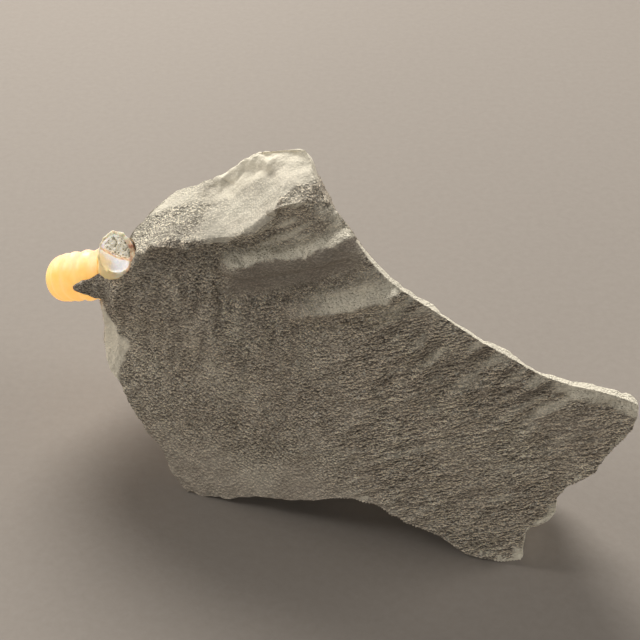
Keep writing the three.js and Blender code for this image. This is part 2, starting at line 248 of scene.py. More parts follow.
# Repeatable noise for whole arrays of points.
def scatter(cells, seed):
    """A value from -1 to 1 for each cell of a grid, always the same for the same seed."""
    mixed = cells[:, 0] * 73856093 ^ cells[:, 1] * 19349663 ^ cells[:, 2] * 83492791
    mixed = (mixed ^ seed * 668265263) & 0x7FFFFFFF
    mixed = ((mixed ^ mixed >> 13) * 1274126177) & 0x7FFFFFFF
    mixed = ((mixed ^ mixed >> 15) * 668265263) & 0x7FFFFFFF
    return (mixed >> 8 & 0xFFFF) / 32767.5 - 1


def noise(points, size, seed):
    """Smooth noise from about -1 to 1 with bumps of the given size."""
    turned = points @ np.array(Euler((0.7 + seed, 0.4, 1.1 - seed)).to_matrix()) / size
    cell = np.floor(turned).astype(np.int64)
    part = turned - cell
    ease = part**3 * (part * (part * 6 - 15) + 10)
    total = np.zeros(len(points))
    for corner in np.ndindex(2, 2, 2):
        near = np.array(corner)
        weight = np.prod(np.where(near, ease, 1 - ease), axis=1)
        offset = part - near
        slope = sum(scatter(cell + near, seed * 3 + axis) * offset[:, axis] for axis in range(3))
        total += weight * slope
    return total * 1.7


def rough(points, size, seed, layers=3):
    total = np.zeros(len(points))
    for layer in range(layers):
        total += noise(points, size / 2**layer, seed + layer) / 2**layer
    return total


def grains(points, size, seed):
    """Distance to the nearest of scattered points, in sizes."""
    placed = points / size
    cell = np.floor(placed).astype(np.int64)
    nearest = np.full(len(points), 9.0)
    for step in np.ndindex(3, 3, 3):
        near = cell + np.array(step) - 1
        jitter = np.stack([scatter(near, seed * 5 + axis) for axis in range(3)], 1)
        distance = np.linalg.norm(near + 0.5 + 0.45 * jitter - placed, axis=1)
        nearest = np.minimum(nearest, distance)
    return nearest


# Triangle meshes as arrays.
def welded(node):
    """A CAD node's points in millimetres, with shared corners merged, and its triangles."""
    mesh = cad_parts[node].data
    mesh.calc_loop_triangles()
    points = np.empty(len(mesh.vertices) * 3)
    mesh.vertices.foreach_get("co", points)
    faces = np.empty(len(mesh.loop_triangles) * 3, np.int64)
    mesh.loop_triangles.foreach_get("vertices", faces)
    points = points.reshape(-1, 3) / MM
    _, first, index = np.unique(np.round(points, 3), axis=0, return_index=True, return_inverse=True)
    faces = index.ravel()[faces.reshape(-1, 3)]
    whole = (faces[:, 0] != faces[:, 1]) & (faces[:, 1] != faces[:, 2]) & (faces[:, 2] != faces[:, 0])
    return points[first], faces[whole]


def edges_of(faces):
    """Every edge once, as two points, and the three edges of each triangle."""
    ends = np.stack([faces, np.roll(faces, -1, axis=1)], 2)
    low = ends.min(axis=2)
    high = ends.max(axis=2)
    span = int(faces.max()) + 1
    keys, index = np.unique(low * span + high, return_inverse=True)
    return np.stack([keys // span, keys % span], 1), index.reshape(-1, 3)


def face_normals(points, faces):
    a, b, c = (points[faces[:, i]] for i in range(3))
    return np.cross(b - a, c - a)


def point_normals(points, faces):
    flat = face_normals(points, faces)
    total = np.zeros_like(points)
    for i in range(3):
        for axis in range(3):
            total[:, axis] += np.bincount(faces[:, i], flat[:, axis], len(points))
    return total / np.maximum(np.linalg.norm(total, axis=1, keepdims=True), 1e-12)


def sharp_edges(points, faces, limit):
    """The edges whose two triangles meet at more than an angle."""
    edges, sides = edges_of(faces)
    flat = face_normals(points, faces)
    flat /= np.maximum(np.linalg.norm(flat, axis=1, keepdims=True), 1e-12)
    total = np.zeros((len(edges), 3))
    for i in range(3):
        for axis in range(3):
            total[:, axis] += np.bincount(sides[:, i], flat[:, axis], len(edges))
    return edges[np.linalg.norm(total, axis=1) < 2 * math.cos(limit / 2)]


def sum_over(ends, values, count):
    return np.stack([np.bincount(ends, values[:, axis], count) for axis in range(3)], 1)


def settled(points, edges, creases):
    """Each point moved towards its neighbours, and a crease's points only along the crease."""
    count = len(points)
    near = np.bincount(edges.ravel(), minlength=count)
    around = sum_over(edges[:, 0], points[edges[:, 1]], count)
    around += sum_over(edges[:, 1], points[edges[:, 0]], count)
    share = np.where(near > 3, 3 / (8 * np.maximum(near, 1)), 3 / 16)[:, None]
    eased = points * (1 - near[:, None] * share) + share * around
    sharp = np.bincount(creases.ravel(), minlength=count)
    beside = sum_over(creases[:, 0], points[creases[:, 1]], count)
    beside += sum_over(creases[:, 1], points[creases[:, 0]], count)
    along = points * 0.75 + beside / 8
    eased = np.where((sharp == 2)[:, None], along, eased)
    return np.where(((sharp > 0) & (sharp != 2))[:, None], points, eased)


def split_long_edges(points, faces, creases, wanted, soften):
    """Halves each edge longer than wanted, and rounds off what isn't a crease."""
    count = len(points)
    edges, sides = edges_of(faces)
    length = np.linalg.norm(points[edges[:, 0]] - points[edges[:, 1]], axis=1)
    split = length > (wanted[edges[:, 0]] + wanted[edges[:, 1]]) / 2
    if not split.any():
        return points, faces, creases, False
    crease_keys = creases.min(axis=1) * count + creases.max(axis=1)
    is_crease = np.isin(edges[:, 0] * count + edges[:, 1], crease_keys)
    opposite = np.zeros((len(edges), 3))
    for i in range(3):
        opposite += sum_over(sides[:, i], points[faces[:, (i + 2) % 3]], len(edges))
    middle = (points[edges[:, 0]] + points[edges[:, 1]]) / 2
    if soften:
        rounded = middle * 0.75 + opposite / 8
        middle = np.where(is_crease[:, None], middle, rounded)
        points = settled(points, edges, creases)
    new = np.full(len(edges), -1)
    new[split] = count + np.arange(split.sum())
    points = np.vstack([points, middle[split]])
    cut = split & is_crease
    kept = edges[is_crease & ~split]
    halves = [np.stack([edges[cut][:, i], new[cut]], 1) for i in (0, 1)]
    creases = np.vstack([kept, *halves])
    return points, split_faces(points, faces, split[sides], new[sides]), creases, True


def split_faces(points, faces, marked, middle):
    number = marked.sum(axis=1)
    made = [faces[number == 0]]
    turn = np.where(number == 2, (np.argmin(marked, axis=1) + 1) % 3, np.argmax(marked, axis=1))
    order = (turn[:, None] + np.arange(3)) % 3
    faces = np.take_along_axis(faces, order, axis=1)
    middle = np.take_along_axis(middle, order, axis=1)
    one, two, three = (number == i for i in (1, 2, 3))
    a, b, c = (faces[one][:, i] for i in range(3))
    m = middle[one][:, 0]
    made += [np.stack([a, m, c], 1), np.stack([m, b, c], 1)]
    a, b, c = (faces[two][:, i] for i in range(3))
    m, n = middle[two][:, 0], middle[two][:, 1]
    made.append(np.stack([m, b, n], 1))
    longer = np.linalg.norm(points[m] - points[c], axis=1) > np.linalg.norm(points[a] - points[n], axis=1)
    last = np.where(longer, n, c)
    first = np.where(longer, a, m)
    made += [np.stack([a, m, last], 1), np.stack([first, n, c], 1)]
    a, b, c = (faces[three][:, i] for i in range(3))
    m, n, o = (middle[three][:, i] for i in range(3))
    made += [np.stack(corners, 1) for corners in ((a, m, o), (m, b, n), (o, n, c), (m, n, o))]
    return np.vstack(made)


# Pieces.
def add_piece(name, points, faces, node, material, values):
    """A mesh that stands for a CAD node, from points in millimetres, smooth but for its sharp edges."""
    mesh = bpy.data.meshes.new(name)
    mesh.from_pydata((points * MM).tolist(), [], faces.tolist())
    mesh.polygons.foreach_set("use_smooth", [True] * len(mesh.polygons))
    for key, value in values.items():
        layer = mesh.attributes.new(key, "FLOAT", "POINT")
        layer.data.foreach_set("value", value.astype(np.float32))
    mesh.update()
    mesh.set_sharp_from_angle(angle=SHARP_ANGLE)
    piece = bpy.data.objects.new(name, mesh)
    bpy.context.scene.collection.objects.link(piece)
    piece.data.materials.append(material)
    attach(piece, "root")
    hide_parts(node)


# Materials.
def new_material(name):
    material = bpy.data.materials.new(name)
    material.use_nodes = True
    return material, material.node_tree, material.node_tree.nodes["Principled BSDF"]


def add_node(tree, kind, inputs=None, **settings):
    made = tree.nodes.new("ShaderNode" + kind)
    for key, value in settings.items():
        setattr(made, key, value)
    for key, value in (inputs or {}).items():
        if isinstance(value, bpy.types.NodeSocket):
            tree.links.new(value, made.inputs[key])
        else:
            made.inputs[key].default_value = value
    return made


def object_place(tree):
    return add_node(tree, "TexCoord").outputs["Object"]


def noise_value(tree, place, size_mm, detail=4, roughness=0.55, distortion=0.0):
    """A noise node's value, with features of the given size."""
    inputs = {
        "Vector": place,
        "Scale": 1 / (size_mm * MM),
        "Detail": detail,
        "Roughness": roughness,
        "Distortion": distortion,
    }
    return add_node(tree, "TexNoise", inputs).outputs["Fac"]


def granules(tree, place, size_mm):
    """Rounded grains: 1 at the middle of each one and 0 in the gaps between them."""
    inputs = {"Vector": place, "Scale": 1 / (size_mm * MM), "Smoothness": 0.3}
    made = add_node(tree, "TexVoronoi", inputs, feature="SMOOTH_F1")
    return scaled(tree, made.outputs["Distance"], 0.1, 0.75, 1, 0)


def ramp(tree, value, *stops):
    """A colour ramp from (place, colour) pairs."""
    made = add_node(tree, "ValToRGB", {"Fac": value})
    elements = made.color_ramp.elements
    while len(elements) < len(stops):
        elements.new(1)
    for element, (place, colour) in zip(elements, stops):
        element.position = place
        element.color = (*colour, 1)
    return made.outputs["Color"]


def mix(tree, share, first, second, blend="MIX"):
    made = add_node(tree, "Mix", data_type="RGBA", blend_type=blend)
    for socket, value in ((made.inputs[0], share), (made.inputs[6], first), (made.inputs[7], second)):
        if isinstance(value, bpy.types.NodeSocket):
            tree.links.new(value, socket)
        elif isinstance(value, tuple):
            socket.default_value = (*value, 1)
        else:
            socket.default_value = value
    return made.outputs[2]


def scaled(tree, value, low, high, to_low=0.0, to_high=1.0):
    inputs = {"Value": value, "From Min": low, "From Max": high, "To Min": to_low, "To Max": to_high}
    return add_node(tree, "MapRange", inputs).outputs["Result"]


def attribute(tree, name):
    return add_node(tree, "Attribute", attribute_name=name).outputs["Fac"]


def bump(tree, height, depth_mm, strength, under=None):
    inputs = {"Height": height, "Distance": depth_mm * MM, "Strength": strength}
    if under:
        inputs["Normal"] = under
    return add_node(tree, "Bump", inputs).outputs["Normal"]


def subtract(tree, first, second):
    return add_node(tree, "Math", {0: first, 1: second}, operation="SUBTRACT").outputs[0]


def across_face(tree, place, angle, stretch):
    """Places measured along a direction on the stone's face, across it and into the face."""
    along = (ALONG * math.cos(angle) + UP_FACE * math.sin(angle)) / stretch
    across = UP_FACE * math.cos(angle) - ALONG * math.sin(angle)
    parts = {}
    for name, axis in (("X", along), ("Y", across), ("Z", INTO_FACE)):
        made = add_node(tree, "VectorMath", {0: place, 1: axis.tolist()}, operation="DOT_PRODUCT")
        parts[name] = made.outputs["Value"]
    return add_node(tree, "CombineXYZ", parts).outputs["Vector"]


def multiply(tree, first, second):
    return add_node(tree, "Math", {0: first, 1: second}, operation="MULTIPLY").outputs[0]


def moved_place(tree, place, move_mm):
    move = {0: place, 1: [float(step) * MM for step in move_mm]}
    return add_node(tree, "VectorMath", move, operation="ADD").outputs[0]


def stone_tone(tree, place, coarse):
    """The grain's height, its granules' height, and how light or dark both make the stone, partly in painted
    highlight and painted shade.
    """
    streaky = attribute(tree, "streaky")
    drawn = across_face(tree, place, STREAK_ANGLE, STREAK_STRETCH)
    upper = moved_place(tree, place, UP_FACE * SIDE_RISE)
    drawn_upper = moved_place(tree, drawn, (0, SIDE_RISE, 0))
    grain, above = (
        mix(tree, streaky, noise_value(tree, plain, *GRAIN), noise_value(tree, stretched, *STREAKY_GRAIN))
        for plain, stretched in ((place, drawn), (upper, drawn_upper))
    )
    granule = granules(tree, place, GRANULE_SIZE)
    # Lighter where the grain rises and darker where it sinks: partly the stone's own grain, partly painted
    # highlight and painted shade.
    tone = ramp(tree, grain, (0.34, (0.68, 0.67, 0.66)), (0.5, PLAIN), (0.66, (1.22, 1.21, 1.18)))
    # The gaps between granules are darker: painted shade.
    gaps = ramp(tree, granule, (0.1, (0.55, 0.54, 0.53)), (0.5, PLAIN), (0.95, (1.12, 1.12, 1.1)))
    tone = mix(tree, 1.0, tone, gaps, "MULTIPLY")
    # Upper sides of grains get a painted highlight and lower sides painted shade.
    sides = subtract(tree, granule, granules(tree, upper, GRANULE_SIZE))
    slopes = scaled(tree, subtract(tree, grain, above), -0.12, 0.12, -0.3, 0.3)
    sides = add_node(tree, "Math", {0: sides, 1: 0.35, 2: slopes}, operation="MULTIPLY_ADD").outputs[0]
    # Painted highlight on the upper sides of grains and painted shade on their lower sides.
    painted_side_light = ramp(
        tree,
        scaled(tree, sides, -0.3, 0.3),
        (0.2, (0.28, 0.27, 0.26)),
        (0.5, (0.98, 0.98, 0.98)),
        (0.8, (2.5, 2.44, 2.3)),
    )
    tone = mix(tree, 1.0, tone, painted_side_light, "MULTIPLY")
    return grain, granule, mix(tree, scaled(tree, coarse, 0, 1, 0.15, 1.0), PLAIN, tone)


def limestone():
    """Grey-brown limestone, darker in its pits and paler on its grains, with painted highlight and painted
    shade.
    """
    material, tree, shader = new_material("limestone")
    place = object_place(tree)
    coarse = attribute(tree, "coarse")
    patches = noise_value(tree, place, 9, 5, 0.6)
    base = ramp(
        tree,
        patches,
        (0.3, (0.46, 0.4, 0.33)),
        (0.5, (0.525, 0.465, 0.385)),
        (0.7, (0.59, 0.535, 0.445)),
    )
    base = mix(tree, attribute(tree, "pale"), base, PALE_STONE)
    grain, granule, tone = stone_tone(tree, place, coarse)
    base = mix(tree, 1.0, base, tone, "MULTIPLY")
    # Pale specks: partly pale grains of the stone, partly painted glints.
    specks = scaled(tree, noise_value(tree, place, 0.35, 2, 0.5), 0.6, 0.66, 0, 0.7)
    base = mix(tree, multiply(tree, specks, coarse), base, SPECK)
    pits = scaled(tree, noise_value(tree, place, 0.7, 3, 0.6), 0.42, 0.33, 0, 1)
    base = mix(tree, multiply(tree, pits, attribute(tree, "pitted")), base, PIT)
    # Painted shade in the hollow, the crease under the lip, below the upper ledge, on the spike and on the
    # shaded sides of marks, and darker grey patches on the slope.
    base = mix(tree, attribute(tree, "dark"), base, SHADE_AND_GREY_STONE)
    # Painted highlight along the rim's top, the lip, the peak, the tip, the right foot, ledge tops and the
    # lit sides of marks.
    base = mix(tree, attribute(tree, "edge"), base, HIGHLIGHT_STONE)
    tree.links.new(base, shader.inputs["Base Color"])
    tree.links.new(scaled(tree, grain, 0.3, 0.7, 0.95, 0.75), shader.inputs["Roughness"])
    shader.inputs["Specular IOR Level"].default_value = 0.35
    rounded = bump(tree, granule, GRANULE_DEPTH, 1.0)
    strong = bump(tree, grain, GRAIN_DEPTH, 1.0, rounded)
    for made in (rounded, strong):
        tree.links.new(scaled(tree, coarse, 0, 1, 0.2, 1.0), made.node.inputs["Strength"])
    tree.links.new(strong, shader.inputs["Normal"])
    return material


def calcite():
    """Translucent honey calcite, with a painted highlight along the top of the whorl, and deeper honey and a
    painted glow stronger low on it.
    """
    material, tree, shader = new_material("honey_calcite")
    place = object_place(tree)
    cloud = noise_value(tree, place, 3.5, 4, 0.55, 0.4)
    honey = ramp(tree, cloud, (0.3, (1.0, 0.56, 0.15)), (0.5, (1.0, 0.63, 0.22)), (0.7, (1.0, 0.7, 0.32)))
    # Painted highlight along the top of the whorl and deeper honey low on it.
    base = mix(tree, attribute(tree, "cream"), honey, LIT_TOP_CREAM)
    base = mix(tree, attribute(tree, "deep"), base, GLOWING_LOW_HONEY)
    tree.links.new(base, shader.inputs["Base Color"])
    shader.inputs["Subsurface Weight"].default_value = 1.0
    shader.inputs["Subsurface Radius"].default_value = (1.0, 0.7, 0.35)
    shader.inputs["Subsurface Scale"].default_value = 14.0 * MM
    # The calcite glows though it is no lamp: painted glow, strongest low on the whorl.
    shader.inputs["Emission Color"].default_value = (*PAINTED_GLOW_COLOUR, 1)
    painted_glow = scaled(tree, attribute(tree, "deep"), 0, 0.7, 0.38, 0.53)
    tree.links.new(painted_glow, shader.inputs["Emission Strength"])
    tree.links.new(scaled(tree, cloud, 0.3, 0.7, 0.32, 0.5), shader.inputs["Roughness"])
    shader.inputs["IOR"].default_value = 1.5
    tree.links.new(bump(tree, noise_value(tree, place, 0.6, 3), 0.06, 0.5), shader.inputs["Normal"])
    return material


def shell_matter():
    """Cream shell, brown where it is broken on the right, and pearly inside, with a painted glow strongest on
    the pearl.
    """
    material, tree, shader = new_material("shell")
    place = object_place(tree)
    cloud = noise_value(tree, place, 1.0, 4, 0.6)
    cream = ramp(tree, cloud, (0.3, (0.72, 0.6, 0.4)), (0.5, (0.9, 0.82, 0.62)), (0.7, (0.97, 0.93, 0.8)))
    brown = ramp(tree, cloud, (0.36, (0.5, 0.2, 0.12)), (0.48, (0.8, 0.56, 0.36)), (0.66, (0.95, 0.8, 0.58)))
    pearl = ramp(tree, cloud, (0.34, (0.8, 0.74, 0.84)), (0.47, (1.0, 0.98, 0.96)), (0.62, (0.9, 0.93, 1.0)))
    base = mix(tree, attribute(tree, "pearl"), cream, pearl)
    base = mix(tree, attribute(tree, "brown"), base, brown)
    base = mix(tree, attribute(tree, "honey"), base, HONEY_SHELL)
    tree.links.new(base, shader.inputs["Base Color"])
    shader.inputs["Subsurface Weight"].default_value = 0.4
    shader.inputs["Subsurface Radius"].default_value = (1.0, 0.7, 0.45)
    shader.inputs["Subsurface Scale"].default_value = 1.0 * MM
    tree.links.new(scaled(tree, attribute(tree, "pearl"), 0, 1, 0.6, 0.3), shader.inputs["Roughness"])
    # The shell glows in its own colour though it is no lamp: painted glow, strongest on the pearl.
    tree.links.new(base, shader.inputs["Emission Color"])
    painted_glow = scaled(tree, attribute(tree, "pearl"), 0, 1, 0.12, 0.38)
    tree.links.new(painted_glow, shader.inputs["Emission Strength"])
    tree.links.new(bump(tree, noise_value(tree, place, 0.45, 3), 0.12, 0.8), shader.inputs["Normal"])
    return material


def sediment():
    """Grey-green sediment with whitish and black grains, and a painted glow."""
    material, tree, shader = new_material("sediment")
    place = object_place(tree)
    grain = noise_value(tree, place, 0.5, 3, 0.6)
    base = ramp(
        tree,
        grain,
        (0.36, (0.17, 0.15, 0.1)),
        (0.44, (0.62, 0.56, 0.41)),
        (0.52, (0.9, 0.82, 0.66)),
        (0.6, (1.0, 0.94, 0.82)),
    )
    speck = scaled(tree, noise_value(tree, place, 0.35, 2, 0.5), 0.34, 0.54)
    base = mix(tree, multiply(tree, attribute(tree, "dark"), speck), base, BLACK_GRAIN)
    tree.links.new(base, shader.inputs["Base Color"])
    # The sediment glows in its own colour though it is no lamp: painted glow.
    tree.links.new(base, shader.inputs["Emission Color"])
    shader.inputs["Emission Strength"].default_value = 0.27
    tree.links.new(scaled(tree, grain, 0.3, 0.7, 0.9, 0.6), shader.inputs["Roughness"])
    tree.links.new(bump(tree, grain, 0.25, 1.0), shader.inputs["Normal"])
    return material


def paper():
    """Warm grey paper with a faint grain."""
    material, tree, shader = new_material("floor_paper")
    place = object_place(tree)
    fibre = noise_value(tree, place, 1.6, 5, 0.65)
    base = ramp(tree, fibre, (0.3, (0.295, 0.262, 0.232)), (0.7, (0.325, 0.29, 0.258)))
    tree.links.new(base, shader.inputs["Base Color"])
    tree.links.new(scaled(tree, fibre, 0.3, 0.7, 0.85, 0.95), shader.inputs["Roughness"])
    tree.links.new(bump(tree, fibre, 0.15, 0.35), shader.inputs["Normal"])
    return material


# The stone.
def over_crest(points, u, v, ledge, seed):
    """How far each point lies above a ledge's ragged crest, and how much of the ledge it shows."""
    crest = np.array(ledge["crest"])
    ragged = 0.5 * noise(points, 2.2, seed) + 0.25 * noise(points, 0.9, seed + 10)
    along = smooth(crest[0, 0] - 2.5, crest[0, 0] + 1.5, u)
    along = along * (1 - smooth(crest[-1, 0] - 1, crest[-1, 0] + 2, u))
    return v - np.interp(u, crest[:, 0], crest[:, 1]) + ragged, along


def ledge_relief(over, along, ledge):
    """Out at the crest, in at the foot of the fall below it, and level again further down."""
    reach = ledge["below"]
    places = [-reach, -0.65 * reach, -0.08 * reach, 0, ledge["above"]]
    return ledge["step"] * along * np.interp(over, places, [0, -0.35, 0.75, 0.85, 0])


def profile(keys, values, wanted, choose):
    """The greatest or least value among points near each wanted key, by half millimetres."""
    bins = np.round(keys * 2).astype(int)
    order = np.unique(bins)
    found = np.array([choose(values[bins == number]) for number in order])
    return np.interp(wanted, order / 2, found)


def drawn_marks(u, v, marks):
    """Noise drawn out along a direction on the face."""
    angle = math.radians(marks["angle"])
    along = u * math.cos(angle) + v * math.sin(angle)
    across = v * math.cos(angle) - u * math.sin(angle)
    drawn = np.stack([along / marks["along"], across / marks["across"], np.full(len(u), 0.37)], 1)
    return noise(drawn, 1, marks["seed"])


def find_marks(zones):
    """The marks drawn out over the face, and which way the sides of ripples and folds look."""
    u, v = zones.u, zones.v
    zones.streaks = drawn_marks(u, v, STREAKS)
    zones.ripples = drawn_marks(u, v, RIPPLES)
    zones.folds = drawn_marks(u, v, FOLDS)
    zones.drapes = drawn_marks(u, v, DRAPES)
    zones.scuffs = drawn_marks(u, v, PAINTED_STREAKS)
    zones.wedge_streaks = drawn_marks(u, v, WEDGE_STREAKS)
    zones.ripple_side = zones.ripples - drawn_marks(u, v + RIPPLE_RISE, RIPPLES)
    zones.fold_side = zones.folds - drawn_marks(u, v + FOLD_RISE, FOLDS)


def find_edges(points, zones):
    """How far each point lies from the face's outline, and the regions along that outline."""
    u, v, w = zones.u, zones.v, zones.w
    facing = zones.front > 0.5
    near_face = facing & (w < FACET_DEPTH)
    zones.to_rim = profile(u[facing], v[facing], u, np.max) - v
    zones.to_right = profile(v[facing], u[facing], v, np.max) - u
    from_left = u - profile(v[near_face], u[near_face], v, np.min) + 0.8 * noise(points, 2.5, 16)
    facet_width = np.interp(v, FACET_HEIGHTS, FACET_WIDTHS)
    zones.facet = smooth(0.4, -0.4, from_left - facet_width) * zones.front
    zones.along_rim = smooth(24, 29, u)
    zones.top = zones.along_rim * zones.rear * smooth(TOP_DEPTH + 0.8, TOP_DEPTH, w)
    zones.near_top = zones.rippled * smooth(15, 4, zones.to_rim)


def stone_zones(points, normals):
    """The stone's regions, each as a share from 0 to 1 for every point, and the marks that lie in them."""
    u, v, w = to_face(points)
    front = smooth(0.15, 0.6, -(normals @ INTO_FACE))
    zones = SimpleNamespace(u=u, v=v, w=w, front=front, rear=1 - front)
    zones.over_lip, zones.on_lip = over_crest(points, u, v, LIP, 31)
    zones.over_upper, zones.on_upper = over_crest(points, u, v, UPPER_LEDGE, 32)
    zones.over_middle, zones.on_middle = over_crest(points, u, v, MIDDLE_LEDGE, 33)
    zones.over_lower, zones.on_lower = over_crest(points, u, v, LOWER_LEDGE, 34)

    crest = np.interp(u, *np.array(UPPER_LEDGE["crest"]).T)
    over = zones.over_middle
    slope = smooth(-0.4, 0.4, v - crest) * smooth(24, 18, u)
    hollow = front * zones.on_middle * smooth(-7.5, -5, over) * smooth(0.2, -0.5, over)
    zones.slope = slope
    zones.hollow = hollow
    zones.wedge = smooth(9, 13, u) * smooth(0.3, 1.2, over) * smooth(0.2, -0.6, v - crest) * front
    zones.finer = smooth(20, 34, u)
    low = v + 3 * noise(points, 7, 22) + 0.4 * np.maximum(u - 22, 0)
    zones.worn = 1 - 0.7 * smooth(16, 4, low)
    zones.lower_right = smooth(18, 34, u) * (1 - smooth(34, 42, v))
    zones.low_left = smooth(12, 7, v) * smooth(12, -2, u)
    zones.rippled = smooth(26, 34, u) * (1 - smooth(62, 70, u)) * smooth(20, 28, v)
    zones.folded = 0.35 + 0.65 * zones.finer
    zones.draped = smooth(20, 30, v) * smooth(26, 14, u) * (1 - slope) * (1 - hollow)
    find_marks(zones)
    find_edges(points, zones)
    return zones


def stone_relief(points, zones):
    """How far each point of the stone moves out along its normal."""
    front, slope, hollow = zones.front, zones.slope, zones.hollow
    relief = 0.3 * noise(points, 6, 1) + 0.2 * noise(points, 2.6, 2)
    relief += front * ledge_relief(zones.over_upper, zones.on_upper, UPPER_LEDGE)
    relief += front * ledge_relief(zones.over_middle, zones.on_middle, MIDDLE_LEDGE)
    relief += front * ledge_relief(zones.over_lower, zones.on_lower, LOWER_LEDGE)
    relief += ledge_relief(zones.over_lip, zones.on_lip, LIP)

    grainy = 0.32 * (0.55 - grains(points, 1.1, 4)) + 0.18 * noise(points, 1.5, 5)
    smoother = (1 - 0.8 * slope) * (1 - 0.7 * hollow) * (1 - 0.45 * zones.finer) * zones.worn
    relief += grainy * front * smoother
    relief += STREAKS["height"] * zones.streaks * front * zones.lower_right
    relief += RIPPLES["height"] * zones.ripples * front * zones.rippled
    relief += FOLDS["height"] * zones.folds * front * zones.folded * (1 - slope) * (1 - hollow)
    relief += DRAPES["height"] * zones.drapes * front * zones.draped
    relief += WEDGE_STREAKS["height"] * zones.wedge_streaks * zones.wedge

    scoops = grains(points, 8, 9)
    chips = grains(points, 3, 10)
    broken = 1.0 * (scoops**2 - 0.25) + 0.35 * (chips**2 - 0.25) + 0.15 * rough(points, 1.8, 11)
    relief += zones.rear * broken
    return relief * (1 - 0.85 * zones.along_rim * smooth(1.2, 0.2, zones.to_rim) * smooth(3, 2, zones.w))


def lit_parts(points, zones):
    """Shares of the face that get a painted highlight: ledge tops, ripples, folds, the left facet and
    streaks.
    """
    over, lower = zones.over_middle, zones.over_lower
    ledges = 0.95 * zones.on_middle * smooth(-0.1, 0.2, over) * smooth(3, 1.2, over)
    patch = zones.on_lower * smooth(16, 28, zones.u) * (1.1 + 0.5 * noise(points, 2, 28))
    ledges += patch * smooth(-0.2, 0.4, lower) * smooth(5, 1.5, lower)
    parts = [
        np.clip(ledges, 0, 1),
        0.85 * zones.wedge * smooth(-0.3, 0.7, zones.wedge_streaks),
        0.6 * smooth(0.02, 0.3, zones.ripple_side) * zones.near_top,
        0.3 * smooth(0.15, 0.7, zones.fold_side) * zones.folded * (1 - zones.hollow),
        0.85 * zones.facet,
        0.14 * smooth(0.1, 0.6, zones.drapes) * zones.draped,
        0.3 * smooth(0.1, 0.6, zones.scuffs) * zones.low_left * zones.front,
    ]
    return np.maximum.reduce(parts)


def shaded_parts(zones):
    """Shares of the face that lie in shade: the other sides of the same marks."""
    parts = [
        0.6 * smooth(0.02, 0.3, -zones.ripple_side) * zones.near_top,
        0.3 * smooth(0.1, 0.6, -zones.fold_side) * zones.folded,
        0.3 * smooth(0.0, 0.5, -zones.drapes) * zones.draped,
        0.2 * smooth(0.3, -0.3, zones.scuffs) * zones.low_left,
    ]
    return np.maximum.reduce(parts)


def stone_values(points, zones):
    """What the stone's surface is like at each point: values that its material reads."""
    u, v, w = zones.u, zones.v, zones.w
    slope, hollow, front = zones.slope, zones.hollow, zones.front
    ragged = smooth(5, -3, u + 1.5 * noise(points, 5, 13))
    # Painted shade below the upper ledge.
    below_upper = zones.on_upper * smooth(-9, -3, zones.over_upper) * smooth(0.2, -0.5, zones.over_upper)
    below_upper = below_upper * smooth(16, 8, u)
    # Painted highlights on the right tip and on facets along the right foot.
    tip = smooth(60, 65, u) * smooth(2.6, 1.4, zones.to_rim + 0.5 * noise(points, 2, 26))
    foot_highlight = smooth(1.8, 0.9, zones.to_right + 0.4 * noise(points, 1.5, 19))
    foot_highlight = foot_highlight * np.maximum(smooth(4.5, 3.5, v), smooth(9, 10, v) * smooth(15, 13, v))
    grey = 0.3 * slope * smooth(-0.1, 0.6, noise(points, 5.5, 20)) * smooth(8, 3, u)
    # Painted highlight on the peak and on the lip, and painted shade in the crease under the lip and on the
    # spike.
    peak = 0.5 * slope * smooth(6, 10, u) * smooth(4.5, 2.0, zones.to_rim)
    crease = zones.on_lip * smooth(-2.4, -1.2, zones.over_lip) * smooth(0, -0.5, zones.over_lip)
    lip_light = 0.7 * zones.on_lip * smooth(-0.2, 0.3, zones.over_lip)
    spike = smooth(-14, -15.5, u) * smooth(34, 35.5, v) * smooth(43, 41, v) * smooth(5, 3.5, w)
    # The level top of the right-hand edge gets a painted highlight.
    edge = smooth(0.3, 0.7, zones.top)
    lit = lit_parts(points, zones) * front
    shaded = shaded_parts(zones) * (1 - slope)

    clumps = 0.9 + 0.15 * noise(points, 2.4, 23) + 0.15 * noise(points, 5, 25)
    quiet = 1 - 0.2 * smooth(-0.2, 0.7, noise(points, 14, 18))
    coarse = (1 - 0.35 * zones.rear) * zones.worn * clumps * quiet
    coarse *= (1 - slope * (1 - 0.6 * ragged)) * (1 - 0.65 * hollow) * (1 - 0.7 * zones.facet)
    pale = 0.95 * slope * (0.8 + 0.35 * noise(points, 5, 17))
    # Painted shade in the hollow, the crease, on the spike, below the upper ledge and on the shaded sides of
    # marks; the grey patches are the stone's own colour.
    dark = [0.6 * hollow, 0.5 * crease, 0.45 * spike, grey, 0.3 * below_upper, shaded]
    return {
        "coarse": np.clip(coarse, 0, 1),
        "streaky": smooth(15, 36, u) * (1 - 0.5 * slope),
        "pitted": 0.15 + 0.7 * slope * ragged,
        "pale": np.clip(pale, 0, 1) * (1 - 0.6 * crease),
        "dark": np.maximum.reduce(dark),
        # Painted highlight along the rim's top, the lip, the lit marks, the right tip, the peak and the right
        # foot.
        "edge": np.maximum.reduce([edge, lip_light, lit, tip, peak, foot_highlight]),
    }


